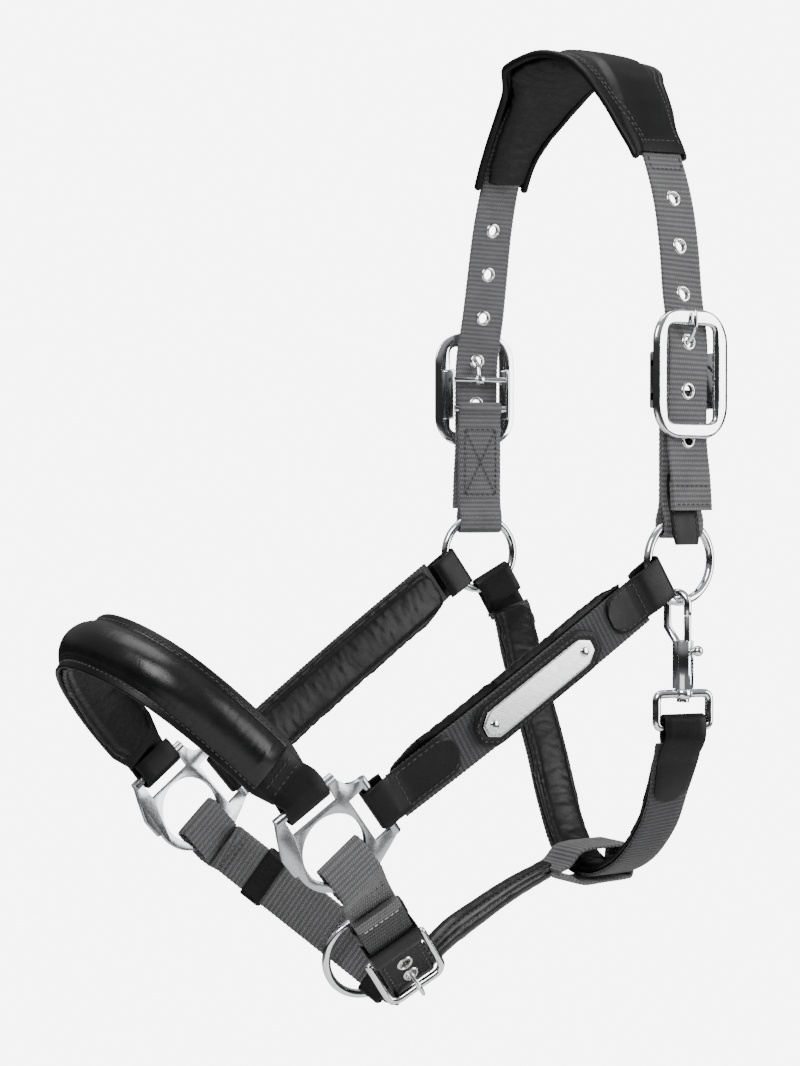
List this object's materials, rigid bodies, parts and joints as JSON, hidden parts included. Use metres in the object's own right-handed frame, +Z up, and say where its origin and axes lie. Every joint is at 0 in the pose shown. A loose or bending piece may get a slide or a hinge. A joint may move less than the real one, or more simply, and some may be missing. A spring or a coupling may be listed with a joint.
{
  "type": "horse headcollar",
  "caption": "Headcollar for a horse with padded crown, buckled drops, cheekpieces, padded noseband, buckled chin strap, jaw strap and a throatlash that unclips.",
  "frame": {"origin": "poll: middle of the crown lining's underside, where it rests behind the horse's ears", "axes": "+X to the horse's left (near) side, +Y back towards the neck, +Z up; the noseband is at -Y and the straps hang down -Z"},
  "size_m": [0.2073, 0.3457, 0.5027],
  "materials": {
    "webbing": "woven nylon webbing, mid grey, cross ribbed, matt",
    "leather": "smooth black strap leather, soft sheen, stitched",
    "lining": "soft dark padded lining, fine creases",
    "chrome": "polished chrome plate",
    "satin_metal": "satin grey metal with bright edges"
  },
  "bodies": {
    "headcollar": {"crown_top": "leather", "crown_pad": "lining", "crown_front_roll": "leather", "crown_back_roll": "leather", "headpiece_webbing": "webbing", "near_billet_eyelets": "chrome", "far_billet_eyelets": "chrome", "near_cheek_buckle": "chrome", "near_tongue_bar": "chrome", "near_strap_bar": "chrome", "near_buckle_chape": "webbing", "near_ring_tag": "leather", "far_cheek_buckle": "chrome", "far_tongue_bar": "chrome", "far_strap_bar": "chrome", "far_buckle_chape": "webbing", "near_cheek_webbing": "webbing", "near_cheek_padding": "lining", "near_upper_chape": "leather", "near_lower_chape": "leather", "far_cheek_webbing": "webbing", "far_cheek_padding": "lining", "far_upper_chape": "leather", "far_lower_chape": "leather", "nameplate_patch": "leather", "nameplate": "satin_metal", "nameplate_rivets": "chrome", "near_nose_fitting": "satin_metal", "far_nose_fitting": "satin_metal", "noseband_base": "leather", "noseband_core": "lining", "noseband_lining": "lining", "chin_strap": "webbing", "chin_leather": "leather", "chin_eyelets": "chrome", "chin_buckle_chape": "webbing", "chin_rear_keeper": "leather", "chin_front_keeper": "leather", "chin_buckle_frame": "chrome", "jaw_front_loop": "leather", "jaw_strap": "leather", "jaw_throat_loop": "webbing", "throat_webbing": "webbing", "throat_padding": "lining", "throat_far_chape": "leather", "throat_near_chape": "leather", "snap_eye": "chrome"},
    "near_tongue": {"near_buckle_tongue": "chrome"},
    "far_tongue": {"far_buckle_tongue": "chrome"},
    "chin_tongue": {"chin_buckle_tongue": "chrome"},
    "near_ring": {"near_cheek_ring": "chrome"},
    "far_ring": {"far_cheek_ring": "chrome"},
    "lead_ring": {"lead_ring": "chrome"},
    "snap_hook": {"snap_hook": "chrome", "snap_spring": "satin_metal"},
    "snap_bolt": {"snap_bolt": "chrome"},
    "chin_slider": {"chin_slider": "leather"}
  },
  "joints": [
    {"name": "near_tongue_tilt", "type": "hinge", "parent": "headcollar", "child": "near_tongue", "pos_m": [0.0885, -0.006, -0.162], "axis": [0, 1, 0], "range_deg": [0, 2]},
    {"name": "far_tongue_tilt", "type": "hinge", "parent": "headcollar", "child": "far_tongue", "pos_m": [-0.0885, -0.006, -0.162], "axis": [-0.2588, -0.9659, 0], "range_deg": [0, 2]},
    {"name": "chin_tongue_tilt", "type": "hinge", "parent": "headcollar", "child": "chin_tongue", "pos_m": [0.03804, -0.14778, -0.45566], "axis": [-0.3088, -0.7824, -0.5408], "range_deg": [0, 2]},
    {"name": "near_ring_turn", "type": "hinge", "parent": "headcollar", "child": "near_ring", "pos_m": [0.0885, -0.006, -0.263], "axis": [1, 0, 0], "continuous": true},
    {"name": "far_ring_turn", "type": "hinge", "parent": "headcollar", "child": "far_ring", "pos_m": [-0.0885, -0.006, -0.263], "axis": [0.9659, -0.2588, 0], "continuous": true},
    {"name": "lead_ring_tilt", "type": "hinge", "parent": "headcollar", "child": "lead_ring", "pos_m": [0.00291, -0.14321, -0.46613], "axis": [0.3097, 0.4811, 0.8202], "range_deg": [-9, 20]},
    {"name": "snap_swivel", "type": "hinge", "parent": "headcollar", "child": "snap_hook", "pos_m": [0.0916, -0.00607, -0.324], "axis": [0, 0, 1], "range_deg": [-30, 0]},
    {"name": "snap_bolt_slide", "type": "slide", "parent": "snap_hook", "child": "snap_bolt", "axis": [0, 0, -1], "range_m": [0, 0.0065], "stiffness_N_per_m": 300, "springref_m": -0.003, "deforming": ["snap_spring"]},
    {"name": "chin_slider_slide", "type": "slide", "parent": "headcollar", "child": "chin_slider", "axis": [0.6991, 0.4694, -0.5393], "range_m": [-0.012, 0.04]}
  ]
}
